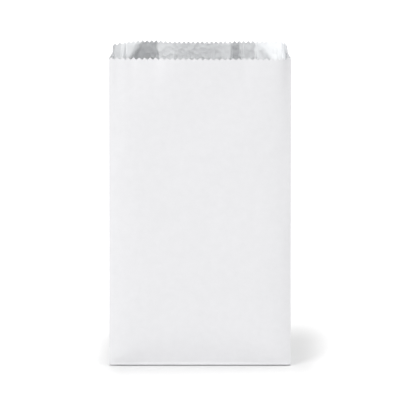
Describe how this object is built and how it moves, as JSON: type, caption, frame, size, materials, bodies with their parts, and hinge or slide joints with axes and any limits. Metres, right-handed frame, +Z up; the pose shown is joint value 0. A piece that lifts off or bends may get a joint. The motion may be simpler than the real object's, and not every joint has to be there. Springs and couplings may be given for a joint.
{
  "type": "foil lined paper bag",
  "caption": "White takeaway bag of paper laminated to aluminium foil, with side gussets and a saw edge at the open mouth, standing on its squared-out bottom",
  "frame": {"origin": "on the floor, under the middle of the bag", "axes": "+Z up, front panel towards -Y, +X to the right seen from the front"},
  "size_m": [0.178, 0.0714, 0.312],
  "materials": {
    "paper": "bleached white kraft paper, matt, laminated to aluminium foil on the inside"
  },
  "bodies": {
    "root": {"bag": "paper"}
  },
  "joints": []
}
